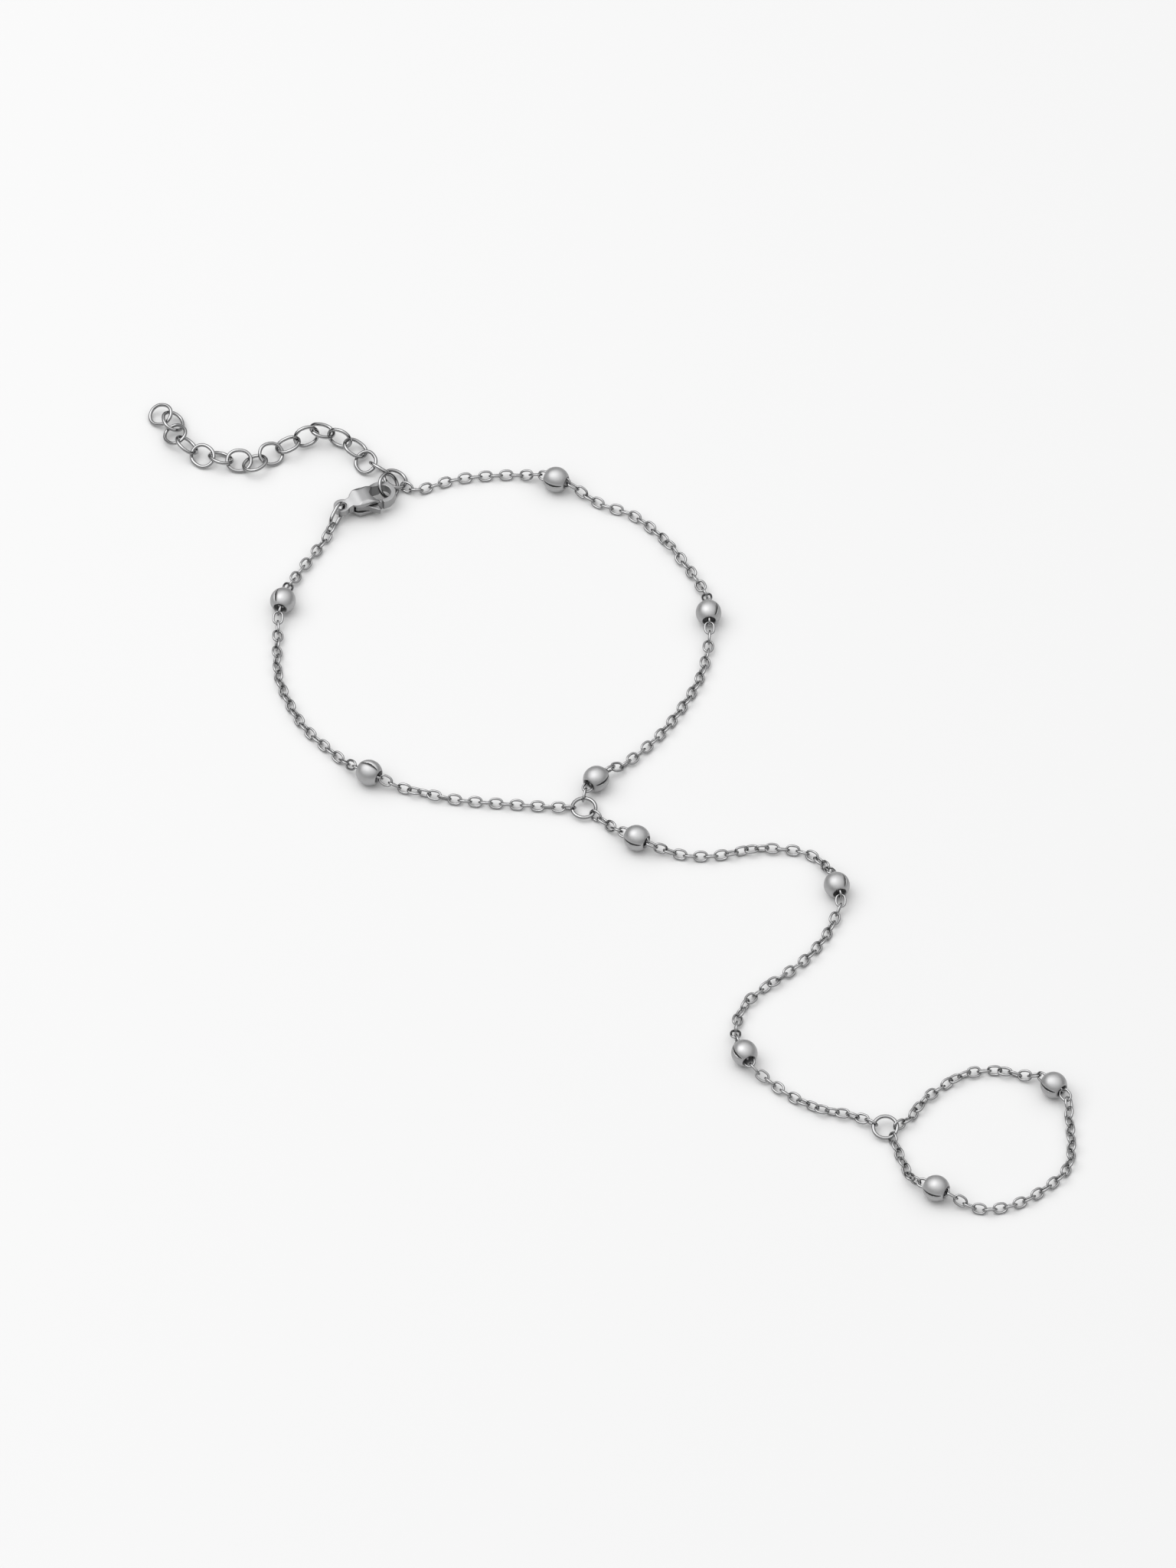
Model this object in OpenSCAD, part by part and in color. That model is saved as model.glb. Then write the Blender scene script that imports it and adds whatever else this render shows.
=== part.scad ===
// Hand chain bracelet: a beaded wrist loop with an extender and a lobster clasp, a beaded chain
// across the back of the hand, and a beaded finger loop. It lies on the surface at z = 0.

/* [Beads] */
// Diameter of a bead across its waist
bead_d = 3.2; // [2.8:0.1:4]
// Length of a bead from mouth to mouth
bead_l = 2.8; // [2.4:0.1:3.4]
// Diameter of the hole through a bead
bead_bore = 1.62; // [1.62:0.02:2]
// Width of the flat rim round a bead's mouth
bead_rim = 0.08; // [0.04:0.01:0.3]

/* [Fine chain] */
// Length of a link outside
link_l = 1.94; // [1.8:0.02:2.4]
// Width of a link outside
link_w = 1.42; // [1.2:0.02:1.44]
// Thickness of a link's wire
link_wire = 0.26; // [0.2:0.01:0.28]
// Clearance between linked wires
link_gap = 0.11; // [0.1:0.01:0.14]

/* [Joining rings] */
// Diameter of the centre ring, the finger ring and the end ring
ring_d = 3.4; // [3.2:0.1:3.8]
// Thickness of their wire
ring_wire = 0.42; // [0.3:0.02:0.44]
// Angle at which the centre ring leans on its chains
centre_ring_lean = 5; // [0:1:12]
// Angle at which the finger ring leans on its chains
finger_ring_lean = 14; // [0:1:25]
// Angle at which the end ring leans on the held ring
end_ring_lean = 20; // [16:1:24]

/* [Extender] */
// Length of an extender link outside
ext_l = 3.5; // [3.4:0.1:4.2]
// Width of an extender link outside
ext_w = 3.1; // [2.6:0.05:3.2]
// Thickness of an extender link's wire
ext_wire = 0.42; // [0.3:0.02:0.44]
// Diameter of the extender's round link that the clasp holds
held_ring_d = 3.55; // [3.5:0.05:3.7]
// Angle at which that link leans over the hook
held_ring_lean = 52; // [50:1:55]

/* [Clasp] */
// Distance from the eye's centre to the hook's centre
clasp_reach = 5.4; // [5.3:0.05:5.6]
// Clearance between the clasp and the surface, where the held link passes under it
clasp_lift = 0.3; // [0.2:0.05:0.4]
// Diameter of the eye outside
eye_d = 2.1; // [2:0.05:2.3]
// Diameter of the hole in the eye
eye_hole = 1.2; // [1.15:0.05:1.3]
// Thickness of the eye
eye_t = 0.9; // [0.7:0.05:1]
// Width of the body
body_w = 2.9; // [2.8:0.05:3.2]
// Thickness of the body
body_t = 2.4; // [2.3:0.05:2.6]
// Diameter of the hook outside
hook_d = 3.5; // [3.4:0.05:3.6]
// Width of the hook's bar
hook_bar = 0.62; // [0.5:0.02:0.66]
// Thickness of the hook's bar
hook_t = 1.24; // [1.1:0.02:1.3]
// Length of the gap that the gate closes
gate_gap = 0.5; // [0.45:0.05:0.7]
// Thickness of the lever
lever_t = 0.8; // [0.6:0.05:0.9]
// Clearance on each side of the lever
lever_gap = 0.1; // [0.08:0.01:0.15]
// Width of the lever's gate
gate_w = 0.44; // [0.3:0.02:0.5]
// How far the thumb fin stands out of the body
fin_out = 1.1; // [0.6:0.05:1.3]
// Diameter of the rivet that the lever turns on
pin_d = 0.5; // [0.4:0.05:0.6]
// Clearance round the rivet
pin_gap = 0.05; // [0.03:0.01:0.08]
// Length of the oval link in the eye
eye_link_l = 3.7; // [3.6:0.1:4]
// Width of the oval link in the eye
eye_link_w = 2.6; // [2.5:0.05:2.8]
// Thickness of its wire
eye_link_wire = 0.42; // [0.34:0.02:0.44]

/* [Hidden] */
$fn = 32;
steel = [0.72, 0.72, 0.73];
dark_steel = [0.6, 0.6, 0.62];

// Routes over the surface: x, y, turn of the links about the chain, and 1 where a bead sits.
// Each route starts at and ends at the ring or link that holds it.
LEFT_ROWS = [
  [-34.5, 44.0, -10, 0], [-36.5, 40.5, 20, 0], [-38.5, 37.0, 20, 0], [-40.0, 32.5, 30, 1],
  [-40.5, 29.0, 40, 0], [-40.5, 21.5, 0, 0], [-39.0, 16.5, 0, 0], [-37.0, 12.5, 0, 0],
  [-34.0, 9.0, 0, 0], [-31.5, 6.5, 0, 0], [-29.0, 4.5, 0, 1], [-25.5, 3.0, 0, 0],
  [-22.5, 2.0, 45, 0], [-18.5, 1.0, 90, 0], [-14.5, 0.5, 90, 0], [-9.0, 0.0, 90, 0]
];
RIGHT_ROWS = [
  [-23.5, 51.5, 0, 0], [-21.0, 52.5, 0, 0], [-18.0, 53.5, 0, 0], [-14.0, 54.0, 0, 0],
  [-10.0, 54.0, 0, 0], [-6.0, 52.5, 10, 1], [-3.0, 51.0, 10, 0], [0.0, 49.0, 0, 0],
  [3.5, 47.5, 0, 0], [7.0, 44.0, 0, 0], [10.0, 39.5, 90, 0], [12.5, 34.5, 60, 0],
  [13.0, 30.5, 45, 1], [13.0, 26.0, 40, 0], [12.0, 21.0, 0, 0], [10.0, 16.5, 0, 0],
  [7.0, 11.5, 0, 0], [3.5, 7.5, 20, 0], [1.5, 5.5, 30, 0], [-1.0, 3.5, 40, 1]
];
HAND_ROWS = [
  [1.0, -3.5, 0, 0], [4.0, -6.0, 0, 1], [7.0, -7.0, 20, 0], [10.0, -8.0, 0, 0],
  [14.0, -8.0, 0, 0], [18.5, -7.0, 45, 0], [22.0, -7.0, 90, 0], [24.5, -7.5, 90, 0],
  [26.5, -9.0, 100, 0], [28.5, -13.5, 135, 1], [28.5, -16.5, 130, 0], [27.5, -20.0, 90, 0],
  [25.0, -24.0, 90, 0], [22.0, -27.0, 100, 0], [19.0, -29.5, 180, 0], [17.0, -32.0, 250, 0],
  [16.0, -35.5, 310, 0], [17.0, -40.0, 320, 1], [19.0, -42.5, 345, 0], [22.0, -45.5, 350, 0],
  [26.0, -48.0, 400, 0], [30.0, -49.0, 420, 0]
];
FINGER_ROWS = [
  [37.0, -49.5, 0, 0], [38.5, -47.0, 40, 0], [41.0, -44.5, 90, 0], [44.0, -42.5, 150, 0],
  [47.5, -42.0, 200, 0], [51.0, -43.0, 270, 0], [54.5, -45.0, 315, 1], [56.0, -48.0, 360, 0],
  [56.5, -53.0, 360, 0], [56.0, -57.0, 360, 0], [53.5, -60.0, 360, 0], [50.0, -62.5, 360, 0],
  [46.0, -63.5, 360, 0], [43.0, -62.5, 360, 0], [40.0, -61.0, 380, 1], [37.5, -59.5, 410, 0],
  [36.5, -57.5, 440, 0], [35.5, -54.5, 450, 0]
];
// Where each extender link lies: x, y, height of its centre, and heading, rise and roll of its length
EXTENDER_LINKS = [
  [-55.8, 63.8, 1.05, -25, 20, 25], [-54.2, 62.6, 1.15, -80, 0, -25],
  [-53.9, 60.3, 1.30, -50, 15, 20], [-52.4, 58.4, 1.40, -50, -10, -35],
  [-50.4, 57.0, 0.95, -40, -5, 30], [-48.1, 56.6, 1.00, -45, 10, -25],
  [-45.8, 56.2, 0.95, 0, 0, 30], [-43.8, 55.7, 1.05, 45, 0, -15],
  [-41.8, 57.2, 1.10, 20, -10, 35], [-39.7, 58.5, 1.35, 20, 15, -15],
  [-37.4, 59.5, 1.80, 20, 5, 75], [-35.4, 60.5, 1.75, 10, -20, -10],
  [-33.2, 59.4, 1.60, -25, 5, 85], [-31.2, 58.1, 1.15, -30, -20, -15],
  [-29.9, 56.0, 0.90, -60, 0, 30], [-28.0, 54.5, 1.35, -35, -5, -55]
];
// Steps of the curve between two rows of a route
per_row = 8;
// Steps of a bead's curved side from mouth to mouth
barrel_steps = 12;
// Stretch of chain that comes down from a bead, a ring or a link to the surface
slope_run = 3;
// Half of the stretch that a bead keeps straight
bead_hold = bead_l * 0.6;
bend_rise = 0.04;
// Turns of each route's first and last link
left_turns = [-15, 65];
right_turns = [15, 40];
hand_turns = [25, 425];
finger_turns = [35, 435];

centre_ring_at = [-2.5, -0.5];
centre_ring_angles = [178, 94, -38];
finger_ring_at = [34, -51];
finger_ring_angles = [160, 2, -54];
// Plan position and turn of the held ring and the end ring
held_ring_at = [-27, 51.5];
held_ring_turn = 62;
end_ring_at = [-26.2, 53.1];
end_ring_turn = 101;
end_ring_angle = -140;
// How far the end ring lies below the clasp's middle
end_ring_drop = 0.5;
hook_at = [-27.83, 50.01];
clasp_angle = 23;
eye_at = hook_at - clasp_reach * [cos(clasp_angle), sin(clasp_angle)];
// Direction from the eye in which the eye link crosses its rim, and where its length points
eye_rim_angle = -115;
eye_link_angle = -118;
eye_link_roll = -84;
eye_link_dip = 20;
// How far its centre lies above the clasp's middle
eye_link_lift = 0.05;

ring_r = (ring_d - ring_wire) / 2;
held_r = (held_ring_d - ext_wire) / 2;
clasp_mid = clasp_lift + body_t / 2;

// Height of the centre of a ring that leans on its chains
function leaning_height(lean) = link_w / 2 + ring_r * sin(lean) / 2;

// A ring is its centre, the lean of its plane and the turn of its level axis
centre_ring_pose = [
  [centre_ring_at.x, centre_ring_at.y, leaning_height(centre_ring_lean)], centre_ring_lean, 0
];
finger_ring_pose = [
  [finger_ring_at.x, finger_ring_at.y, leaning_height(finger_ring_lean)], finger_ring_lean, 0
];
held_ring_pose = [[held_ring_at.x, held_ring_at.y, clasp_mid], held_ring_lean, held_ring_turn];
end_ring_pose = [[end_ring_at.x, end_ring_at.y, clasp_mid - end_ring_drop], end_ring_lean, end_ring_turn];

// Point at an angle and a radius in the plane of a ring
function ring_point(pose, radius, angle) =
  pose[0] + radius * (cos(angle) * [cos(pose[2]), sin(pose[2]), 0]
    + sin(angle) * [-sin(pose[2]) * cos(pose[1]), cos(pose[2]) * cos(pose[1]), sin(pose[1])]);

// Where a chain's first joint lies inside the wire of a ring
function chain_start(pose, radius, wire, angle) = ring_point(pose, radius - (wire + link_gap) / 2, angle);

// Curve through four points in turn, from the second to the third
function curve_at(a, b, c, d, t) =
  (2 * b + (c - a) * t + (2 * a - 5 * b + 4 * c - d) * t * t + (3 * b - a - 3 * c + d) * t * t * t) / 2;
function row_xy(rows, i) = let (k = max(0, min(len(rows) - 1, i))) [rows[k][0], rows[k][1]];
function plan_points(rows) = [
  for (i = [0:len(rows) - 2], k = [0:per_row - 1])
    curve_at(row_xy(rows, i - 1), row_xy(rows, i), row_xy(rows, i + 1), row_xy(rows, i + 2), k / per_row),
  row_xy(rows, len(rows) - 1)
];
function running_length(points) = [
  for (
    i = 0, s = 0;
    i < len(points);
    i = i + 1, s = s + (i < len(points) ? norm(points[i] - points[i - 1]) : 0)
  )
    s
];
function add(values) = values * [for (v = values) 1];
function ease(u) = let (v = max(0, min(1, u))) v * v * (3 - 2 * v);
// Strength with which a bead or an end holds the chain, from 0 far off to endless on it
function pull(s, at_s, half) =
  let (u = ease((slope_run + half - abs(s - at_s)) / slope_run)) u / max(1 - u, 0.000001);

// Height at which links lie when they are turned so, with a little more for where the chain bends
function lying_height(turn) =
  (link_w - link_wire) / 2 * max(abs(sin(45 + turn)), abs(cos(45 + turn))) + link_wire / 2 + bend_rise;

// A path is its tables of x, y, z and turn against length, its length, and its beads' places.
// The chain runs straight and level through a bead, and lies on the surface away from its holds.
function path(rows, z_start, z_end) =
  let (
    plan = plan_points(rows),
    run = running_length(plan),
    last = len(plan) - 1,
    marks = [for (k = [0:len(rows) - 1]) if (rows[k][3] == 1) k * per_row],
    turns = [for (i = [0:last]) lookup(i / per_row, [for (k = [0:len(rows) - 1]) [k, rows[k][2]]])],
    space = [for (i = [0:last])
      let (
        x = plan[i].x,
        y = plan[i].y,
        holds = concat(
          [[x, y, z_start, pull(run[i], 0, 0)], [x, y, z_end, pull(run[i], run[last], 0)]],
          [for (m = marks)
            let (
              along = (plan[m + 1] - plan[m - 1]) / norm(plan[m + 1] - plan[m - 1]),
              spot = plan[m] + along * (run[i] - run[m])
            )
            [spot.x, spot.y, bead_d / 2, pull(run[i], run[m], bead_hold)]]
        ),
        weight = 1 + add([for (h = holds) h[3]])
      )
      [
        (x + add([for (h = holds) h[0] * h[3]])) / weight,
        (y + add([for (h = holds) h[1] * h[3]])) / weight,
        (lying_height(turns[i]) + add([for (h = holds) h[2] * h[3]])) / weight
      ]
    ],
    reach = running_length(space)
  )
  [
    [for (i = [0:last]) [reach[i], space[i].x]],
    [for (i = [0:last]) [reach[i], space[i].y]],
    [for (i = [0:last]) [reach[i], space[i].z]],
    [for (i = [0:last]) [reach[i], turns[i]]],
    reach[last],
    [for (m = marks) reach[m]]
  ];
function at(p, s) = [lookup(s, p[0]), lookup(s, p[1]), lookup(s, p[2])];

// An odd number of links, no further apart than the clearance between their wires allows
function link_count(p) = 2 * ceil((p[4] / (link_l - 2 * link_wire - link_gap) - 1) / 2) + 1;

function row_of(point, turn) = [point.x, point.y, turn, 0];
function run_between(from, rows, to, turns) =
  path(concat([row_of(from, turns[0])], rows, [row_of(to, turns[1])]), from.z, to.z);

// The oval link goes through the eye round the eye's rim, and holds the left wrist chain
eye_link_axis = [
  cos(eye_link_dip) * cos(eye_link_angle), cos(eye_link_dip) * sin(eye_link_angle), -sin(eye_link_dip)
];
eye_rim = (eye_d + eye_hole) / 4;
eye_link_centre = [
  eye_at.x + eye_rim * cos(eye_rim_angle) + (eye_link_l - eye_link_w) / 2 * cos(eye_link_angle),
  eye_at.y + eye_rim * sin(eye_rim_angle) + (eye_link_l - eye_link_w) / 2 * sin(eye_link_angle),
  clasp_mid + eye_link_lift
];
eye_link_end = eye_link_centre + eye_link_axis * (eye_link_l / 2 - eye_link_wire - link_gap / 2);

left_path = run_between(
  eye_link_end, LEFT_ROWS, chain_start(centre_ring_pose, ring_r, ring_wire, centre_ring_angles[0]), left_turns
);
right_path = run_between(
  chain_start(end_ring_pose, ring_r, ring_wire, end_ring_angle), RIGHT_ROWS,
  chain_start(centre_ring_pose, ring_r, ring_wire, centre_ring_angles[1]), right_turns
);
hand_path = run_between(
  chain_start(centre_ring_pose, ring_r, ring_wire, centre_ring_angles[2]), HAND_ROWS,
  chain_start(finger_ring_pose, ring_r, ring_wire, finger_ring_angles[0]), hand_turns
);
finger_start_r = ring_r + (ring_wire + link_w) / 2;
finger_path = run_between(
  ring_point(finger_ring_pose, finger_start_r, finger_ring_angles[1]), FINGER_ROWS,
  ring_point(finger_ring_pose, finger_start_r, finger_ring_angles[2]), finger_turns
);

// Turns the x axis towards a direction
module aim(v) {
  rotate([0, -atan2(v.z, norm([v.x, v.y])), atan2(v.y, v.x)]) children();
}

// Round ring of wire in the plane z = 0
module wire_ring(radius, wire) {
  rotate_extrude() translate([radius, 0]) circle(d = wire);
}

// Oval link of wire along x, in the plane z = 0
module oval_link(l, w, wire) {
  bend = (w - wire) / 2;
  run = l - w;
  for (side = [-1, 1])
    translate([side * run / 2, 0, 0])
      rotate([0, 0, -side * 90])
        rotate_extrude(angle = 180) translate([bend, 0]) circle(d = wire);
  for (side = [-1, 1])
    translate([0, side * bend, 0]) rotate([0, 90, 0]) cylinder(d = wire, h = run, center = true);
}

// Each link spans from one joint of its path to the next
module fine_chain(p) {
  count = link_count(p);
  step = p[4] / count;
  color(steel)
    for (i = [0:count - 1]) {
      from = at(p, i * step);
      to = at(p, (i + 1) * step);
      translate((from + to) / 2)
        aim(to - from)
          rotate([45 + 90 * i + lookup((i + 0.5) * step, p[3]), 0, 0])
            oval_link(link_l, link_w, link_wire);
    }
}

// Barrel bead along x, drilled from end to end
module barrel_bead() {
  mouth_r = bead_bore / 2 + bead_rim;
  rise = bead_d / 2 - mouth_r;
  barrel_r = (bead_l * bead_l / 4 + rise * rise) / (2 * rise);
  half_angle = asin(bead_l / 2 / barrel_r);
  barrel = [for (k = [0:barrel_steps])
    let (angle = half_angle * (2 * k / barrel_steps - 1))
    [bead_d / 2 - barrel_r * (1 - cos(angle)), barrel_r * sin(angle)]];
  rotate([0, 90, 0])
    rotate_extrude()
      polygon(concat([[bead_bore / 2, bead_l / 2], [bead_bore / 2, -bead_l / 2]], barrel));
}

// The bead at one of a path's bead places
module bead_on(p, number) {
  s = p[5][number];
  color(steel)
    translate(at(p, s))
      aim(at(p, s + bead_l / 2) - at(p, s - bead_l / 2))
        barrel_bead();
}

module bead_1() bead_on(right_path, 0);
module bead_2() bead_on(right_path, 1);
module bead_3() bead_on(left_path, 0);
module bead_4() bead_on(left_path, 1);
module bead_5() bead_on(right_path, 2);
module bead_6() bead_on(hand_path, 0);
module bead_7() bead_on(hand_path, 1);
module bead_8() bead_on(hand_path, 2);
module bead_9() bead_on(finger_path, 0);
module bead_10() bead_on(finger_path, 1);

module posed_ring(pose, radius, wire) {
  color(steel) translate(pose[0]) rotate([pose[1], 0, pose[2]]) wire_ring(radius, wire);
}
module centre_ring() posed_ring(centre_ring_pose, ring_r, ring_wire);
module finger_ring() posed_ring(finger_ring_pose, ring_r, ring_wire);
module end_ring() posed_ring(end_ring_pose, ring_r, ring_wire);
module held_ring() posed_ring(held_ring_pose, held_r, ext_wire);

module extender_link(number) {
  place = EXTENDER_LINKS[number - 1];
  color(steel)
    translate([place[0], place[1], place[2]])
      rotate([0, -place[4], place[3]]) rotate([place[5], 0, 0]) oval_link(ext_l, ext_w, ext_wire);
}
module extender_link_1() extender_link(1);
module extender_link_2() extender_link(2);
module extender_link_3() extender_link(3);
module extender_link_4() extender_link(4);
module extender_link_5() extender_link(5);
module extender_link_6() extender_link(6);
module extender_link_7() extender_link(7);
module extender_link_8() extender_link(8);
module extender_link_9() extender_link(9);
module extender_link_10() extender_link(10);
module extender_link_11() extender_link(11);
module extender_link_12() extender_link(12);
module extender_link_13() extender_link(13);
module extender_link_14() extender_link(14);
module extender_link_15() extender_link(15);
module extender_link_16() extender_link(16);

module eye_link() {
  color(steel)
    translate(eye_link_centre)
      aim(eye_link_axis)
        rotate([eye_link_roll, 0, 0])
          oval_link(eye_link_l, eye_link_w, eye_link_wire);
}

// The clasp lies along x from its eye, with z = 0 through the middle of its thickness
window_r = hook_d / 2 - hook_bar;
window_end = clasp_reach - window_r * 1.4;
shoulder_x = clasp_reach * 0.45;
pocket_t = lever_t + 2 * lever_gap;
pin_at = [clasp_reach * 0.37, -body_w * 0.2];
pin_l = (pocket_t + body_t) / 2;
pocket_x = pin_at.x - pin_d * 1.4;
nose_x = clasp_reach - hook_d * 0.12;
gate_y = -body_w / 2 + gate_w / 2;
// Bar of the body along the far side of the window
neck_bar = 0.18;
boss_r = pin_d * 1.1;
// Width and depth of the rounding along both sides of the clasp's faces
face_round = [1, 1.1];
side_steps = 48;
// Thickness along the clasp: share of the reach, thickness by the top face, thickness by the bottom face
CLASP_SIDE = [
  [-0.4, eye_t, eye_t], [0.07, eye_t, eye_t], [0.47, body_t, body_t], [0.57, body_t, body_t],
  [0.98, hook_t, body_t], [1.12, hook_t, hook_t], [1.5, hook_t, hook_t]
];

module slab(t) {
  translate([0, 0, -t / 2]) linear_extrude(t) children();
}

module in_clasp() {
  translate([eye_at.x, eye_at.y, clasp_mid]) rotate([0, 0, clasp_angle]) children();
}

module in_pin_place() {
  translate([pin_at.x, pin_at.y, 0]) children();
}

module clasp_outline() {
  circle(d = eye_d);
  translate([0, -eye_d * 0.36]) square([shoulder_x, eye_d * 0.72]);
  translate([shoulder_x, 0]) circle(d = body_w);
  translate([shoulder_x, -body_w / 2])
    square([clasp_reach - shoulder_x, body_w / 2 + window_r + neck_bar]);
  translate([clasp_reach, 0]) circle(d = hook_d);
}

// Thickness at a share of the reach, which swells and sinks smoothly from row to row
function clasp_t(share, column) =
  let (row = max([for (i = [0:len(CLASP_SIDE) - 2]) if (CLASP_SIDE[i][0] <= share) i]))
  let (a = CLASP_SIDE[row], b = CLASP_SIDE[row + 1])
  a[column] + (b[column] - a[column]) * ease((share - a[0]) / (b[0] - a[0]));

// Seen from the side, the clasp is thin at the eye and at the hook, and its belly runs on under the hook
module clasp_side() {
  first = CLASP_SIDE[0][0];
  last = CLASP_SIDE[len(CLASP_SIDE) - 1][0];
  shares = [for (i = [0:side_steps]) first + (last - first) * i / side_steps];
  polygon(concat(
    [for (share = shares) [share * clasp_reach, clasp_t(share, 1) / 2]],
    [for (i = [side_steps:-1:0]) [shares[i] * clasp_reach, -clasp_t(shares[i], 2) / 2]]
  ));
}

// Seen from the end, the faces are flat along the middle and round off towards both sides
module clasp_end() {
  flat = [hook_d / 2 + lever_gap - face_round.x, body_t / 2 - face_round.y];
  polygon([for (turn = [0:90:270], angle = [0:10:90])
    let (a = turn + angle)
    [
      (turn == 0 || turn == 270 ? 1 : -1) * flat.x + face_round.x * cos(a),
      (turn < 180 ? 1 : -1) * flat.y + face_round.y * sin(a)
    ]]);
}

// The window is round inside the hook and narrows in straight cuts towards the body
module window_shape() {
  translate([clasp_reach, 0]) circle(r = window_r);
  polygon([
    [clasp_reach, window_r],
    [window_end + window_r * 0.55, window_r],
    [window_end, window_r * 0.2],
    [window_end, -window_r * 0.3],
    [window_end + window_r * 0.4, -window_r],
    [clasp_reach, -window_r]
  ]);
}

module clasp_body() {
  color(steel)
    in_clasp()
      difference() {
        intersection() {
          slab(body_t) clasp_outline();
          translate([0, hook_d, 0]) rotate([90, 0, 0]) linear_extrude(2 * hook_d) clasp_side();
          translate([-clasp_reach, 0, 0]) rotate([90, 0, 90]) linear_extrude(3 * clasp_reach) clasp_end();
        }
        slab(2 * body_t) window_shape();
        slab(2 * body_t) circle(d = eye_hole);
        slab(2 * body_t) translate([nose_x - gate_gap, -hook_d]) square([gate_gap, hook_d]);
        slab(pocket_t)
          translate([pocket_x, -body_w]) square([nose_x - pocket_x, body_w * 1.12]);
        in_pin_place() cylinder(d = pin_d + 2 * pin_gap, h = pin_l + 2 * pin_gap, center = true);
      }
}

// The boss round the rivet, the thumb fin and the gate
module lever_shape() {
  polygon(concat(
    [for (angle = [90:15:270]) pin_at + boss_r * [cos(angle), sin(angle)]],
    [
      [shoulder_x + body_w * 0.2, -body_w / 2],
      [window_end + window_r * 0.1, -body_w / 2 - fin_out * 0.85],
      [window_end + window_r * 0.32, -body_w / 2 - fin_out],
      [window_end + window_r * 0.42, -body_w / 2 - fin_out * 0.8],
      [window_end + window_r * 0.4, gate_y - gate_w / 2],
      [nose_x - lever_gap, gate_y - gate_w / 2],
      [nose_x - lever_gap, gate_y + gate_w / 2],
      [window_end, gate_y + gate_w / 2]
    ]
  ));
}

// The block at the gate's end that fills the gap in front of the hook
module gate_block() {
  bottom = -body_t * 0.4;
  top = hook_t / 2 - lever_gap;
  translate([nose_x - gate_gap + lever_gap, gate_y - gate_w / 2, bottom])
    cube([gate_gap - 2 * lever_gap, gate_w, top - bottom]);
}

module clasp_lever() {
  color(dark_steel)
    in_clasp()
      difference() {
        union() {
          slab(lever_t) lever_shape();
          gate_block();
        }
        in_pin_place() cylinder(d = pin_d + 2 * pin_gap, h = body_t, center = true);
      }
}

module clasp_pin() {
  color(dark_steel) in_clasp() in_pin_place() cylinder(d = pin_d, h = pin_l, center = true);
}

module left_wrist_chain() fine_chain(left_path);
module right_wrist_chain() fine_chain(right_path);
module hand_chain() fine_chain(hand_path);

// The finger chain is a tube as thick as its links are wide, which lies where the links lie
tube_r = link_w / 2;
tube_sides = 8;
tube_rings = 40;
// Stretch of the path on each side of a ring that sets the ring's direction
tube_reach = 0.4;
module finger_chain() {
  rings = [for (i = [0:tube_rings - 1])
    let (
      s = finger_path[4] * i / (tube_rings - 1),
      centre = at(finger_path, s),
      middle = [centre.x, centre.y, max(centre.z, tube_r)],
      next_s = min(s + tube_reach, finger_path[4]),
      ahead = at(finger_path, next_s) - at(finger_path, max(s - tube_reach, 0)),
      level = [-ahead.y, ahead.x, 0] / norm([ahead.x, ahead.y]),
      rising = cross(ahead, level) / norm(ahead)
    )
    [for (k = [0:tube_sides - 1])
      middle + tube_r * (cos(k * 360 / tube_sides) * level + sin(k * 360 / tube_sides) * rising)]
  ];
  last = tube_rings * tube_sides;
  color(steel)
    polyhedron(
      points = [for (r = rings) each r],
      faces = concat(
        [[for (k = [0:tube_sides - 1]) k]],
        [[for (k = [tube_sides - 1:-1:0]) last - tube_sides + k]],
        [for (i = [0:tube_rings - 2], k = [0:tube_sides - 1])
          let (a = i * tube_sides, next = (k + 1) % tube_sides)
          each [
            [a + k, a + tube_sides + k, a + next],
            [a + next, a + tube_sides + k, a + tube_sides + next]
          ]]
      )
    );
}

bead_1();
bead_2();
bead_3();
bead_4();
bead_5();
bead_6();
bead_7();
bead_8();
bead_9();
bead_10();
centre_ring();
finger_ring();
end_ring();
held_ring();
extender_link_1();
extender_link_2();
extender_link_3();
extender_link_4();
extender_link_5();
extender_link_6();
extender_link_7();
extender_link_8();
extender_link_9();
extender_link_10();
extender_link_11();
extender_link_12();
extender_link_13();
extender_link_14();
extender_link_15();
extender_link_16();
eye_link();
clasp_body();
clasp_lever();
clasp_pin();
left_wrist_chain();
right_wrist_chain();
hand_chain();
finger_chain();
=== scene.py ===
import math

import bmesh
import bpy
import numpy as np
from mathutils import Matrix, Vector


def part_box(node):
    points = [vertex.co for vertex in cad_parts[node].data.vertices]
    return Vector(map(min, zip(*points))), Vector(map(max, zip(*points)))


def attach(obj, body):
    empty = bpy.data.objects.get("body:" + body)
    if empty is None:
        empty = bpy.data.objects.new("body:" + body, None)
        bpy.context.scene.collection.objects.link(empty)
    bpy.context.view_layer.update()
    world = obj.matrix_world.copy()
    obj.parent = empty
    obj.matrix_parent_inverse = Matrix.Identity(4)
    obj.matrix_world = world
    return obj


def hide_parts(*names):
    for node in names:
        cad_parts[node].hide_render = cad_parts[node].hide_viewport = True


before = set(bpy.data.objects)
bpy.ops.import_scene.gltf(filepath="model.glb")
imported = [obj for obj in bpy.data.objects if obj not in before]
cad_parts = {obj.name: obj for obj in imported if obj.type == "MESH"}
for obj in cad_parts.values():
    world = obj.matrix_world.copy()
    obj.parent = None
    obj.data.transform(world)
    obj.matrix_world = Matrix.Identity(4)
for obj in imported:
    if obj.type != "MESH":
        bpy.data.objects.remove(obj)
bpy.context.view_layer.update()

MM = 0.001

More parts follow.
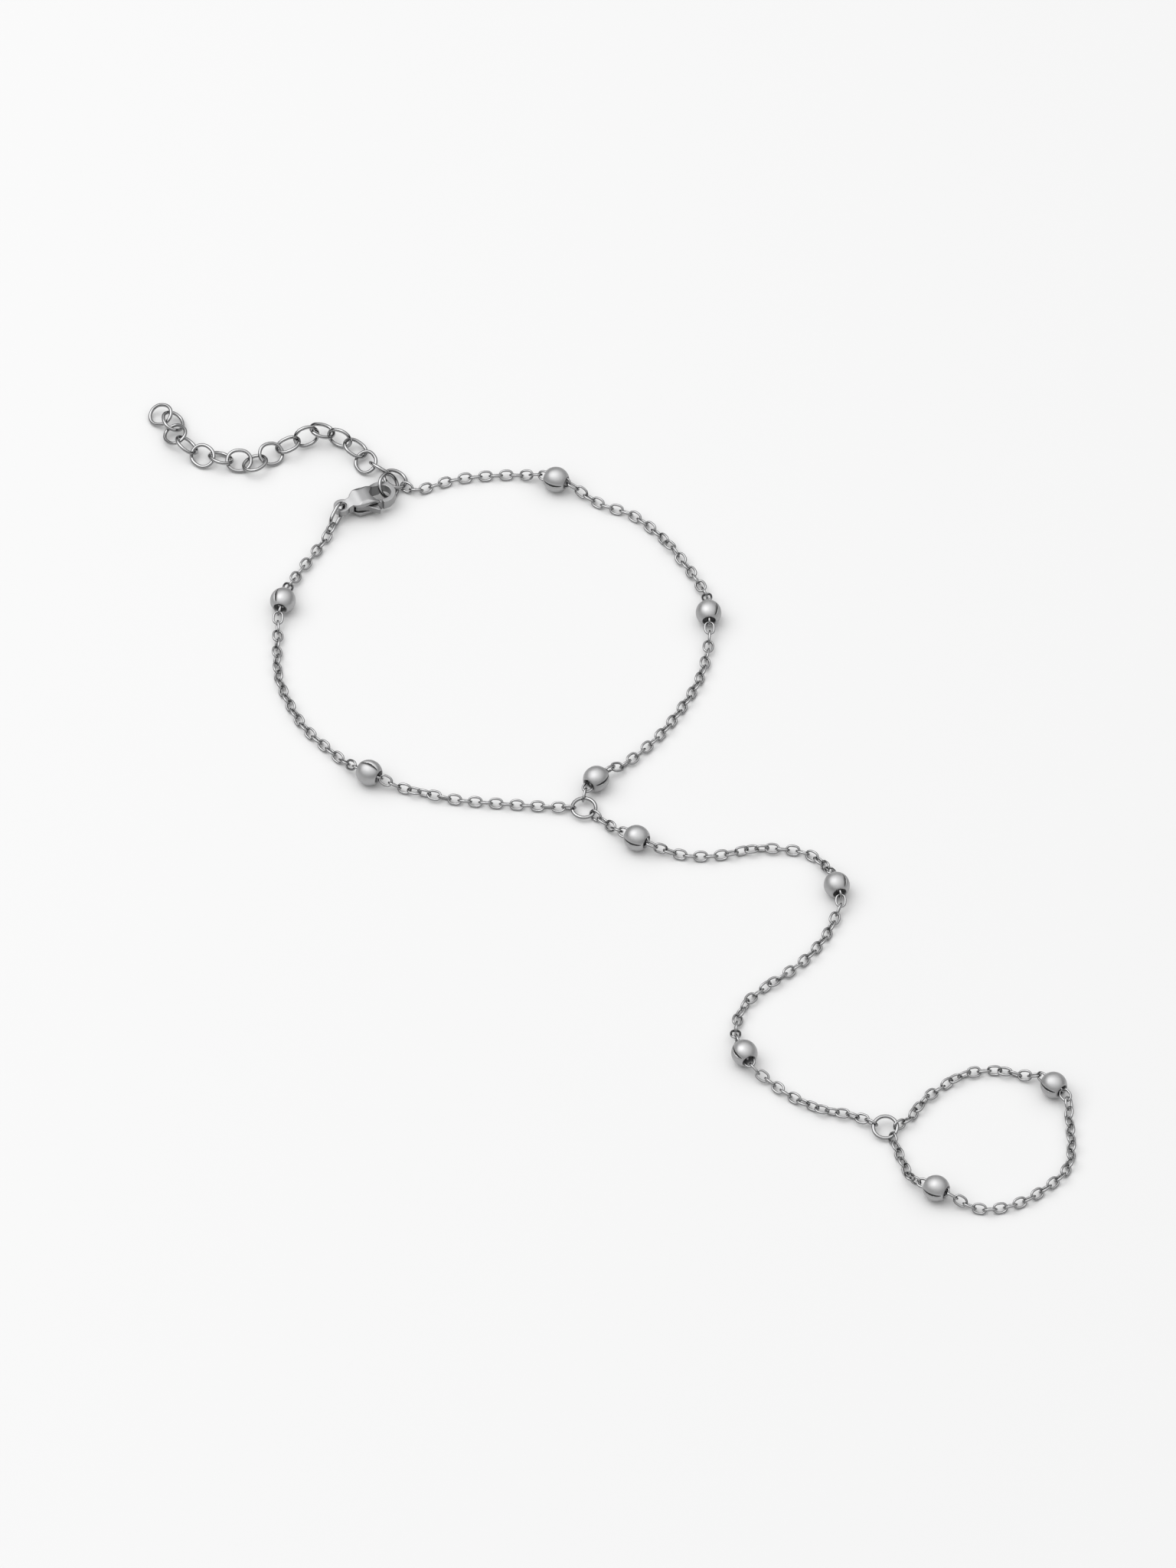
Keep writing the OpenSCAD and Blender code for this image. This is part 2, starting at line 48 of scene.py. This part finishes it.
# Sizes of the pieces, as in the part's source
FINE_LINK = {"length": 1.94 * MM, "width": 1.42 * MM, "wire": 0.26 * MM}
EXTENDER_LINK = {"length": 3.5 * MM, "width": 3.1 * MM, "wire": 0.42 * MM}
EYE_LINK = {"length": 3.7 * MM, "width": 2.6 * MM, "wire": 0.42 * MM}
RING_DIAMETER = 3.4 * MM
HELD_RING_DIAMETER = 3.55 * MM
RING_WIRE = 0.42 * MM
LINK_CLEARANCE = 0.11 * MM
BEAD_LENGTH = 2.8 * MM
BEAD_DIAMETER = 3.2 * MM
BEAD_BORE = 1.62 * MM
BEAD_RIM = 0.08 * MM
EXTENDER_LINKS = 16

# Wires are drawn this much thicker than in the CAD, which keeps room between links; length and width stay
SNUG = 0.055 * MM


# Materials

# How far the cloudy polish darkens and lightens the colour, and how far it lowers and raises the roughness
TINT_RANGE = (0.93, 1.06)
ROUGHNESS_RANGE = (0.85, 1.2)
# Values of the cloud between which the roughness changes
CLOUD_RANGE = (0.3, 0.7)
CLOUD_DETAIL = 3.0
GRAIN_DETAIL = 2.0
GRAIN_STRENGTH = 0.6


def steel(name, colour, rough, grain, grain_depth, polish_marks):
    """Stainless steel with a fine grain and uneven polish, both counted in marks to the metre."""
    material = bpy.data.materials.new(name)
    material.use_nodes = True
    nodes = material.node_tree.nodes
    links = material.node_tree.links
    surface = nodes["Principled BSDF"]
    surface.inputs["Metallic"].default_value = 1.0
    place = nodes.new("ShaderNodeTexCoord").outputs["Object"]

    def noise(scale, detail):
        cloud = nodes.new("ShaderNodeTexNoise")
        cloud.inputs["Scale"].default_value = scale
        cloud.inputs["Detail"].default_value = detail
        links.new(place, cloud.inputs["Vector"])
        return cloud.outputs["Fac"]

    polish = noise(polish_marks, CLOUD_DETAIL)
    tint = nodes.new("ShaderNodeMix")
    tint.data_type = "RGBA"
    for side, share in zip("AB", TINT_RANGE):
        tint.inputs[side].default_value = (*[channel * share for channel in colour], 1.0)
    links.new(polish, tint.inputs["Factor"])
    links.new(tint.outputs["Result"], surface.inputs["Base Color"])

    gloss = nodes.new("ShaderNodeMapRange")
    for end, level, share in zip(("Min", "Max"), CLOUD_RANGE, ROUGHNESS_RANGE):
        gloss.inputs["From " + end].default_value = level
        gloss.inputs["To " + end].default_value = rough * share
    links.new(polish, gloss.inputs["Value"])
    links.new(gloss.outputs["Result"], surface.inputs["Roughness"])

    relief = noise(grain, GRAIN_DETAIL)
    bump = nodes.new("ShaderNodeBump")
    bump.inputs["Strength"].default_value = GRAIN_STRENGTH
    bump.inputs["Distance"].default_value = grain_depth
    links.new(relief, bump.inputs["Height"])
    links.new(bump.outputs["Normal"], surface.inputs["Normal"])
    return material


wire_steel = steel(
    "polished_wire", colour=(0.33, 0.33, 0.333), rough=0.12,
    grain=9000, grain_depth=0.002 * MM, polish_marks=900,
)
bead_steel = steel(
    "satin_bead", colour=(0.46, 0.46, 0.463), rough=0.50,
    grain=14000, grain_depth=0.003 * MM, polish_marks=700,
)
# Near-black steel for the faces in a bead's seam groove: painted shade in the recess
seam_shade_steel = steel(
    "painted_seam_shade", colour=(0.06, 0.06, 0.06), rough=0.60,
    grain=14000, grain_depth=0.003 * MM, polish_marks=700,
)
# Steel darker than the clasp's for the lever and pin, which sit in the clasp's slot: painted shade
lever_shade_steel = steel(
    "painted_shade_lever", colour=(0.24, 0.24, 0.243), rough=0.22,
    grain=9000, grain_depth=0.002 * MM, polish_marks=800,
)
clasp_steel = steel(
    "satin_clasp", colour=(0.33, 0.33, 0.333), rough=0.32,
    grain=12000, grain_depth=0.003 * MM, polish_marks=800,
)


# Pieces

def as_mesh(shape, name):
    """A mesh with smooth faces from a shape, which is freed."""
    for face in shape.faces:
        face.smooth = True
    mesh = bpy.data.meshes.new(name)
    shape.to_mesh(mesh)
    shape.free()
    return mesh


def finished(name, mesh, material, body, node):
    """A piece that stands for a CAD node, moves with its body and takes the material given to it."""
    mesh.materials.append(material)
    piece = bpy.data.objects.new(name, mesh)
    bpy.context.collection.objects.link(piece)
    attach(piece, body)
    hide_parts(node)
    return piece


def smoothed(piece, levels):
    """Rounds a piece with the same subdivision in the view and the render."""
    rounding = piece.modifiers.new("rounding", "SUBSURF")
    rounding.levels = levels
    rounding.render_levels = levels


# Links and rings of wire

# Sides of a wire, and steps of a link's half turn and of a whole ring, all before they are rounded
WIRE_SIDES = 8
FINE_BEND_STEPS = 6
LARGE_BEND_STEPS = 10
RING_STEPS = 24
# Subdivisions that round the wire
FINE_ROUNDING = 1
LARGE_ROUNDING = 2
# Distance within which a link's two ends are joined, as a share of its wire
LINK_WELD = 0.02


def cage(radius, sides):
    """Radius of a many-sided cage that one subdivision brings to the radius asked for, on average."""
    turn = 2 * math.pi / sides
    corner = 0.75 + 0.25 * math.cos(turn)
    edge = math.cos(turn / 2)
    return radius / ((corner + edge) / 2)


def wire_section(wire, middle):
    """A new shape with the section of a wire that runs along x, ready to be spun."""
    shape = bmesh.new()
    bmesh.ops.create_circle(
        shape, segments=WIRE_SIDES, radius=cage(wire / 2, WIRE_SIDES),
        matrix=Matrix.Translation(middle) @ Matrix.Rotation(math.pi / 2, 4, "Y"),
    )
    return shape


def oval_link(size, bend_steps):
    """A closed oval of wire along x: two half turns joined by two straight runs."""
    wire = size["wire"] + SNUG
    bend = cage((size["width"] - wire) / 2, 2 * bend_steps)
    run = size["length"] - size["width"]
    link = wire_section(wire, (run / 2, -bend, 0))
    section = link.verts[:] + link.edges[:]
    for side in (1, -1):
        turned = bmesh.ops.spin(
            link, geom=section, cent=(side * run / 2, 0, 0), axis=(0, 0, 1), angle=math.pi, steps=bend_steps,
        )
        rim = [part for part in turned["geom_last"] if isinstance(part, bmesh.types.BMEdge)]
        drawn = bmesh.ops.extrude_edge_only(link, edges=rim)["geom"]
        corners = [part for part in drawn if isinstance(part, bmesh.types.BMVert)]
        bmesh.ops.translate(link, verts=corners, vec=(-side * run, 0, 0))
        edges = [part for part in drawn if isinstance(part, bmesh.types.BMEdge)]
        section = corners + [edge for edge in edges if all(vert in corners for vert in edge.verts)]
    bmesh.ops.remove_doubles(link, verts=link.verts, dist=wire * LINK_WELD)
    bmesh.ops.recalc_face_normals(link, faces=link.faces)
    return link


def round_ring(diameter):
    """A closed round ring of wire in the plane z = 0."""
    wire = RING_WIRE + SNUG
    ring = wire_section(wire, (0, -cage((diameter - wire) / 2, RING_STEPS), 0))
    bmesh.ops.spin(
        ring, geom=ring.verts[:] + ring.edges[:], cent=(0, 0, 0), axis=(0, 0, 1), angle=2 * math.pi,
        steps=RING_STEPS, use_merge=True,
    )
    bmesh.ops.recalc_face_normals(ring, faces=ring.faces)
    return ring


# Places, from the CAD nodes

# Corners of a CAD mesh that lie this near each other are one
CAD_WELD = 0.001 * MM


def merged_copy(node):
    """A welded copy of a CAD node's mesh."""
    welded = bmesh.new()
    welded.from_mesh(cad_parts[node].data)
    bmesh.ops.remove_doubles(welded, verts=welded.verts, dist=CAD_WELD)
    return welded


def corner_places(verts):
    """Places of corners, in rows of x, y and z."""
    return np.array([vert.co[:] for vert in verts])


def loose_solids(shape):
    """The corners of each loose solid in a shape, in the order in which the shape holds them."""
    seen = set()
    for start in shape.verts:
        if start in seen:
            continue
        seen.add(start)
        group = [start]
        for vert in group:
            for edge in vert.link_edges:
                other = edge.other_vert(vert)
                if other not in seen:
                    seen.add(other)
                    group.append(other)
        yield corner_places(group)


def pose(middle, x_axis, z_axis):
    """Matrix that sets a piece made at the origin at a place, with its x and z axes turned so."""
    x_axis = Vector(x_axis).normalized()
    z_axis = Vector(z_axis).normalized()
    turned = Matrix((x_axis, z_axis.cross(x_axis), z_axis)).transposed().to_4x4()
    return Matrix.Translation(Vector(middle)) @ turned


def pose_of(corners):
    """Pose of a link or ring from its corners: longest along x and thinnest along z."""
    middle = corners.mean(axis=0)
    directions = np.linalg.svd(corners - middle, full_matrices=False)[2]
    along = (corners - middle) @ directions.T
    middle = middle + ((along.max(axis=0) + along.min(axis=0)) / 2) @ directions
    return pose(middle, directions[0], directions[2])


def link_poses(node):
    """Pose of each loose link in a CAD node."""
    welded = merged_copy(node)
    poses = [pose_of(corners) for corners in loose_solids(welded)]
    welded.free()
    return poses


def set_down(shape, node):
    """Moves a shape made at the origin to where a CAD node lies."""
    welded = merged_copy(node)
    place = pose_of(corner_places(welded.verts))
    welded.free()
    bmesh.ops.transform(shape, matrix=place, verts=shape.verts)


# The finger chain's route, with the rows and values of the part's source, in millimetres and degrees

# The finger ring's middle and lean, and the angles on it at which the chain leaves and returns
FINGER_RING = {"middle": (34.0, -51.0), "lean": 14, "leaves": 2, "returns": -54}
# Turns of the first and last link about the chain
FINGER_TURNS = (35, 435)
# x, y, turn of the links about the chain, and 1 where a bead sits
FINGER_ROWS = [
    (37.0, -49.5, 0, 0), (38.5, -47.0, 40, 0), (41.0, -44.5, 90, 0), (44.0, -42.5, 150, 0),
    (47.5, -42.0, 200, 0), (51.0, -43.0, 270, 0), (54.5, -45.0, 315, 1), (56.0, -48.0, 360, 0),
    (56.5, -53.0, 360, 0), (56.0, -57.0, 360, 0), (53.5, -60.0, 360, 0), (50.0, -62.5, 360, 0),
    (46.0, -63.5, 360, 0), (43.0, -62.5, 360, 0), (40.0, -61.0, 380, 1), (37.5, -59.5, 410, 0),
    (36.5, -57.5, 440, 0), (35.5, -54.5, 450, 0),
]
# Steps of the route between two rows
PER_ROW = 8
# Stretch of chain that comes down from a bead or the ring to the surface
SLOPE_RUN = 3.0
# Half of the stretch that a bead keeps straight
BEAD_HOLD = BEAD_LENGTH / MM * 0.6
# A little more height, for where the chain bends
BEND_RISE = 0.04
# Least slack of a hold, which keeps its strength finite
LEAST_SLACK = 0.000001
# Turn of the first link from the route's own turn, and from each link to the next
FIRST_TURN = 45
NEXT_TURN = 90


def curve_at(before, start, end, after, share):
    """Point on the curve from start to end that also heeds the points before and after them."""
    return (
        2 * start + (end - before) * share
        + (2 * before - 5 * start + 4 * end - after) * share * share
        + (3 * start - before - 3 * end + after) * share ** 3
    ) / 2


def running_length(points):
    """Length of the line up to each of its points."""
    steps = np.linalg.norm(np.diff(points, axis=0), axis=1)
    return np.concatenate([[0.0], np.cumsum(steps)])


def pull(along, spot, half):
    """Strength with which a bead or an end holds the chain, from 0 far off to all but endless on it."""
    nearness = np.clip((SLOPE_RUN + half - np.abs(along - spot)) / SLOPE_RUN, 0, 1)
    eased = nearness * nearness * (3 - 2 * nearness)
    return eased / np.maximum(1 - eased, LEAST_SLACK)


def lying_height(turn):
    """Height at which links lie when they are turned so."""
    wire = FINE_LINK["wire"] / MM
    bend = (FINE_LINK["width"] / MM - wire) / 2
    turned = np.radians(FIRST_TURN + turn)
    return bend * np.maximum(np.abs(np.sin(turned)), np.abs(np.cos(turned))) + wire / 2 + BEND_RISE


def at_height(plan, height):
    """Points of a plan, all at one height."""
    return np.column_stack([plan, np.full(len(plan), height)])


def chain_path(rows, start_height, end_height):
    """Points of the chain's middle line, their running lengths and the turn of the links there."""
    spots = np.array([row[:2] for row in rows])
    last = len(rows) - 1
    plan = []
    for number in range(last):
        around = [spots[min(max(near, 0), last)] for near in range(number - 1, number + 3)]
        plan += [curve_at(*around, step / PER_ROW) for step in range(PER_ROW)]
    plan = np.array(plan + [spots[last]])
    run = running_length(plan)
    turns = np.interp(np.arange(len(plan)) / PER_ROW, range(len(rows)), [row[2] for row in rows])

    holds = [
        (pull(run, 0.0, 0), at_height(plan, start_height)),
        (pull(run, run[-1], 0), at_height(plan, end_height)),
    ]
    for mark in [PER_ROW * number for number, row in enumerate(rows) if row[3]]:
        along = (plan[mark + 1] - plan[mark - 1]) / np.linalg.norm(plan[mark + 1] - plan[mark - 1])
        straight = plan[mark] + (run - run[mark])[:, None] * along
        holds.append((pull(run, run[mark], BEAD_HOLD), at_height(straight, BEAD_DIAMETER / MM / 2)))

    points = np.column_stack([plan, lying_height(turns)])
    weight = np.ones(len(plan))
    for strength, held in holds:
        points += strength[:, None] * held
        weight += strength
    points /= weight[:, None]
    return points, running_length(points), turns


def ring_joint(angle):
    """Where the chain's end joint lies inside the finger ring's wire, at an angle on the ring."""
    wire = RING_WIRE / MM
    radius = (RING_DIAMETER / MM - wire) / 2
    lean = math.radians(FINGER_RING["lean"])
    height = FINE_LINK["width"] / MM / 2 + radius * math.sin(lean) / 2
    inside = radius - (wire + LINK_CLEARANCE / MM) / 2
    across = inside * math.cos(math.radians(angle))
    up = inside * math.sin(math.radians(angle))
    x, y = FINGER_RING["middle"]
    return x + across, y + up * math.cos(lean), height + up * math.sin(lean)


def finger_link_poses():
    """Poses of the finger chain's links, from inside the finger ring and back to it."""
    leaves = ring_joint(FINGER_RING["leaves"])
    returns = ring_joint(FINGER_RING["returns"])
    first, last = FINGER_TURNS
    rows = [(*leaves[:2], first, 0), *FINGER_ROWS, (*returns[:2], last, 0)]
    points, run, turns = chain_path(rows, leaves[2], returns[2])
    pitch = (FINE_LINK["length"] - 2 * FINE_LINK["wire"] - LINK_CLEARANCE) / MM
    # The number of links is odd, so that the first and the last are turned alike
    count = 2 * math.ceil((run[-1] / pitch - 1) / 2) + 1
    joints = [
        Vector([np.interp(run[-1] * number / count, run, line) for line in points.T])
        for number in range(count + 1)
    ]
    poses = []
    for number, (start, end) in enumerate(zip(joints, joints[1:])):
        turn = FIRST_TURN + NEXT_TURN * number + np.interp((number + 0.5) * run[-1] / count, run, turns)
        aim = end - start
        heading = Matrix.Rotation(math.atan2(aim.y, aim.x), 4, "Z")
        rise = Matrix.Rotation(-math.atan2(aim.z, math.hypot(aim.x, aim.y)), 4, "Y")
        roll = Matrix.Rotation(math.radians(turn), 4, "X")
        poses.append(Matrix.Translation((start + end) / 2 * MM) @ heading @ rise @ roll)
    return poses


# Fine chains

def fine_chain(node, poses):
    """A chain of fine links, one at each pose, in the place of its CAD node."""
    link = oval_link(FINE_LINK, FINE_BEND_STEPS)
    single = bpy.data.meshes.new("link")
    link.to_mesh(single)
    link.free()
    chain = bmesh.new()
    for place in poses:
        before = len(chain.verts)
        chain.from_mesh(single)
        chain.verts.ensure_lookup_table()
        bmesh.ops.transform(chain, matrix=place, verts=chain.verts[before:])
    bpy.data.meshes.remove(single)
    mesh = as_mesh(chain, node + "_links")
    piece = finished(node + "_links", mesh, wire_steel, "bracelet", node)
    smoothed(piece, FINE_ROUNDING)


for node in ("left_wrist_chain", "right_wrist_chain", "hand_chain"):
    fine_chain(node, link_poses(node))
fine_chain("finger_chain", finger_link_poses())


# Rings and large links

def wire_piece(node, shape):
    """A ring or large link of polished wire, set down where its CAD node lies."""
    set_down(shape, node)
    mesh = as_mesh(shape, node + "_wire")
    piece = finished(node + "_wire", mesh, wire_steel, "bracelet", node)
    smoothed(piece, LARGE_ROUNDING)


for node in ("centre_ring", "finger_ring", "end_ring"):
    wire_piece(node, round_ring(RING_DIAMETER))
wire_piece("held_ring", round_ring(HELD_RING_DIAMETER))
for number in range(1, EXTENDER_LINKS + 1):
    wire_piece("extender_link_%d" % number, oval_link(EXTENDER_LINK, LARGE_BEND_STEPS))
wire_piece("eye_link", oval_link(EYE_LINK, LARGE_BEND_STEPS))


# Beads

# The end of x to which each bead's bore points, and the angle in degrees from its top round to its seam
BEAD_SEAMS = {
    "bead_1": (1, 76), "bead_2": (-1, 44), "bead_3": (-1, 34), "bead_4": (-1, 3), "bead_5": (1, 67),
    "bead_6": (1, 74), "bead_7": (-1, 40), "bead_8": (1, 57), "bead_9": (1, 69), "bead_10": (1, 75),
}
# How far the rolled seam spreads round a bead, how deep it is, and the share of the length that it reaches
SEAM_SPREAD = math.radians(26)
SEAM_DEPTH = 0.14 * MM
SEAM_REACH = 0.86
# Section across the seam: share of its spread, and share of its depth there
SEAM_SECTION = ((0.0, 0.0), (0.05, 1.0), (0.45, 1.0), (0.55, 0.5), (0.80, 0.12), (1.0, 0.0))
# Angle from the seam's edge to the middle of its groove
SEAM_MIDDLE = 0.25 * SEAM_SPREAD
# Share of the spread over which the seam's groove is painted near-black as shade at its widest, and the
# bead's material slot for that painted shade
SEAM_SHADE_SHARE = 0.5
SEAM_SHADE_SLOT = 1
# Steps across the seam, round the rest of the bead, and along its side from mouth to mouth
SEAM_STEPS = 20
ROUND_STEPS = 44
SIDE_STEPS = 20
# Where the bore has corners, as shares of the bead's length from its middle
BORE_STOPS = (0.485, 0.3, 0, -0.3, -0.485)
# Height over the bore up to which a corner counts as the bore's
BORE_SKIN = 0.01 * MM
# Corners that lie this near each other where the spins meet are one
BEAD_WELD = 0.002 * MM


def barrel_profile():
    """A new shape with half a bead's outline in the plane y = 0, along x: bore, rims and round side."""
    mouth = BEAD_BORE / 2 + BEAD_RIM
    rise = BEAD_DIAMETER / 2 - mouth
    side_radius = (BEAD_LENGTH ** 2 / 4 + rise ** 2) / (2 * rise)
    half_turn = math.asin(BEAD_LENGTH / 2 / side_radius)
    shape = bmesh.new()
    start = shape.verts.new((-BEAD_LENGTH / 2, 0, mouth))
    bmesh.ops.spin(
        shape, geom=[start], cent=(0, 0, BEAD_DIAMETER / 2 - side_radius), axis=(0, 1, 0),
        angle=2 * half_turn, steps=SIDE_STEPS,
    )
    side = sorted(shape.verts, key=lambda vert: vert.co.x)
    bore = [shape.verts.new((stop * BEAD_LENGTH, 0, BEAD_BORE / 2)) for stop in BORE_STOPS]
    outline = [side[-1], *bore, side[0]]
    for pair in zip(outline, outline[1:]):
        shape.edges.new(pair)
    return shape


def seam_at(spot):
    """A spot's distance from the bore's line, its share of the seam's spread, and the seam's strength."""
    share = (math.atan2(-spot.y, spot.z) % (2 * math.pi)) / SEAM_SPREAD
    strength = max(0.0, 1 - (2 * spot.x / (BEAD_LENGTH * SEAM_REACH)) ** 2)
    return math.hypot(spot.y, spot.z), share, strength


def barrel_bead():
    """A barrel rolled from sheet, whose seam drops sharply, rises slowly and fades towards the mouths, with
    painted shade on the faces in its groove.
    """
    bead = barrel_profile()
    near = bmesh.ops.spin(
        bead, geom=bead.verts[:] + bead.edges[:], cent=(0, 0, 0), axis=(1, 0, 0),
        angle=SEAM_SPREAD, steps=SEAM_STEPS,
    )
    bmesh.ops.spin(
        bead, geom=near["geom_last"], cent=(0, 0, 0), axis=(1, 0, 0),
        angle=2 * math.pi - SEAM_SPREAD, steps=ROUND_STEPS,
    )
    bmesh.ops.remove_doubles(bead, verts=bead.verts, dist=BEAD_WELD)
    bmesh.ops.recalc_face_normals(bead, faces=bead.faces)
    # Faces in the seam's groove take the near-black steel: painted shade
    for face in bead.faces:
        radius, share, strength = seam_at(face.calc_center_median())
        if radius > BEAD_BORE / 2 + BEAD_RIM and share < SEAM_SHADE_SHARE * math.sqrt(strength):
            face.material_index = SEAM_SHADE_SLOT
    for vert in bead.verts:
        radius, share, strength = seam_at(vert.co)
        if radius > BEAD_BORE / 2 + BORE_SKIN and share < 1:
            sunk = radius - SEAM_DEPTH * strength * np.interp(share, *zip(*SEAM_SECTION))
            vert.co.y *= sunk / radius
            vert.co.z *= sunk / radius
    return bead


def bead_place(node):
    """Middle of a bead and the direction of its bore, which is the one unlike the other two."""
    low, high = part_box(node)
    middle = (Vector(low) + Vector(high)) / 2
    welded = merged_copy(node)
    corners = corner_places(welded.verts) - np.array(middle)
    welded.free()
    spread, directions = np.linalg.eigh(corners.T @ corners)
    odd = 0 if spread[1] - spread[0] > spread[2] - spread[1] else 2
    return middle, Vector(directions[:, odd])


for node, (side, seam) in BEAD_SEAMS.items():
    middle, bore = bead_place(node)
    bore *= side * math.copysign(1, bore.x)
    upright = (Vector((0, 0, 1)) - bore * bore.z).normalized()
    roll = Matrix.Rotation(math.radians(seam) - SEAM_MIDDLE, 4, "X")
    bead = barrel_bead()
    bmesh.ops.transform(bead, matrix=pose(middle, bore, upright) @ roll, verts=bead.verts)
    barrel = as_mesh(bead, node + "_barrel")
    finished(node + "_barrel", barrel, bead_steel, "bracelet", node)
    # The bead's second slot holds the painted seam shade
    barrel.materials.append(seam_shade_steel)


# Clasp

# Grain of the cast skin in millimetres, and how often and how strongly it is softened
CAST_SKIN = 0.04
CAST_ROUNDS = 12
CAST_SOFTNESS = 0.5


def cast_copy(node):
    """A copy of a CAD node with an even skin and soft edges, cast in millimetres and brought to metres."""
    solid = merged_copy(node)
    bmesh.ops.scale(solid, vec=(1 / MM, 1 / MM, 1 / MM), verts=solid.verts)
    form = as_mesh(solid, "mould")
    mould = bpy.data.objects.new("mould", form)
    bpy.context.collection.objects.link(mould)
    skin = mould.modifiers.new("even_skin", "REMESH")
    skin.mode = "VOXEL"
    skin.voxel_size = CAST_SKIN
    soft = mould.modifiers.new("soft_edges", "SMOOTH")
    soft.factor = CAST_SOFTNESS
    soft.iterations = CAST_ROUNDS
    cast = bmesh.new()
    cast.from_object(mould, bpy.context.evaluated_depsgraph_get())
    bpy.data.objects.remove(mould)
    bpy.data.meshes.remove(form)
    bmesh.ops.scale(cast, vec=(MM, MM, MM), verts=cast.verts)
    return as_mesh(cast, node + "_cast")


for node, body, material in (
    ("clasp_body", "bracelet", clasp_steel),
    ("clasp_lever", "lever", lever_shade_steel),
    ("clasp_pin", "bracelet", lever_shade_steel),
):
    finished(node + "_cast", cast_copy(node), material, body, node)


# Floor, light and camera

# Half the width of the floor, its depth under the bracelet, and the grey of its paper
FLOOR_HALF = 1.5
FLOOR_DEPTH = 0.02 * MM
PAPER_GREY = 0.67
# Sine of the height over the horizon, and how bright the air is there
SKY_STOPS = ((0.32, 0.06), (0.55, 0.90), (0.80, 1.0), (0.97, 1.6))
SKY_STRENGTH = 1.2
# Middle and width in metres of the softbox above the bracelet, and its power in watts
SOFTBOX_PLACE = Vector((-0.50, 0.12, 0.86))
SOFTBOX_WIDTH = 0.9
SOFTBOX_POWER = 4.3
# The spot that the camera looks at, its height angle and distance, and the width that it sees there
LOOKS_AT = Vector((-2, 4, 0)) * MM
ELEVATION = math.radians(50)
DISTANCE = 1900 * MM
FRAME_WIDTH = 145.15 * MM
# Width of the camera's sensor, in millimetres
SENSOR_WIDTH = 36


def grey(tone):
    """Opaque grey of a tone."""
    return (tone, tone, tone, 1)


def paper_floor():
    """A wide sheet of pale paper just under the bracelet."""
    shape = bmesh.new()
    level = Matrix.Translation((0, 0, -FLOOR_DEPTH))
    bmesh.ops.create_grid(shape, x_segments=2, y_segments=2, size=FLOOR_HALF, matrix=level)
    floor = bpy.data.objects.new("floor", as_mesh(shape, "floor"))
    paper = bpy.data.materials.new("pale_paper")
    paper.use_nodes = True
    surface = paper.node_tree.nodes["Principled BSDF"]
    surface.inputs["Base Color"].default_value = grey(PAPER_GREY)
    surface.inputs["Roughness"].default_value = 1.0
    surface.inputs["Specular IOR Level"].default_value = 0.0
    floor.data.materials.append(paper)
    bpy.context.collection.objects.link(floor)


def studio_air():
    """Light from all round: dim near the horizon, brighter overhead."""
    world = bpy.data.worlds.new("studio")
    bpy.context.scene.world = world
    world.use_nodes = True
    nodes = world.node_tree.nodes
    links = world.node_tree.links
    place = nodes.new("ShaderNodeTexCoord").outputs["Generated"]
    parts = nodes.new("ShaderNodeSeparateXYZ")
    links.new(place, parts.inputs["Vector"])
    ramp = nodes.new("ShaderNodeValToRGB")
    stops = ramp.color_ramp.elements
    stops.remove(stops[1])
    lowest, *higher = SKY_STOPS
    stops[0].position = lowest[0]
    stops[0].color = grey(lowest[1])
    for height, glow in higher:
        stops.new(height).color = grey(glow)
    links.new(parts.outputs["Z"], ramp.inputs["Fac"])
    links.new(ramp.outputs["Color"], nodes["Background"].inputs["Color"])
    nodes["Background"].inputs["Strength"].default_value = SKY_STRENGTH


def overhead_softbox():
    """A square softbox that faces the bracelet from above its left side."""
    lamp = bpy.data.lights.new("overhead_softbox", "AREA")
    lamp.shape = "SQUARE"
    lamp.size = SOFTBOX_WIDTH
    lamp.energy = SOFTBOX_POWER
    light = bpy.data.objects.new("overhead_softbox", lamp)
    light.location = SOFTBOX_PLACE
    light.rotation_euler = (-SOFTBOX_PLACE).to_track_quat("-Z", "Y").to_euler()
    bpy.context.collection.objects.link(light)


def photo_camera():
    """A camera that looks down on the bracelet as the photo does."""
    camera = bpy.data.cameras.new("photo")
    camera.sensor_fit = "HORIZONTAL"
    camera.sensor_width = SENSOR_WIDTH
    camera.lens = SENSOR_WIDTH * DISTANCE / FRAME_WIDTH
    seat = bpy.data.objects.new("photo", camera)
    seat.location = LOOKS_AT + DISTANCE * Vector((0, -math.cos(ELEVATION), math.sin(ELEVATION)))
    seat.rotation_euler = (math.pi / 2 - ELEVATION, 0, 0)
    bpy.context.collection.objects.link(seat)
    bpy.context.scene.camera = seat


paper_floor()
studio_air()
overhead_softbox()
photo_camera()
bpy.context.scene.view_settings.view_transform = "Standard"
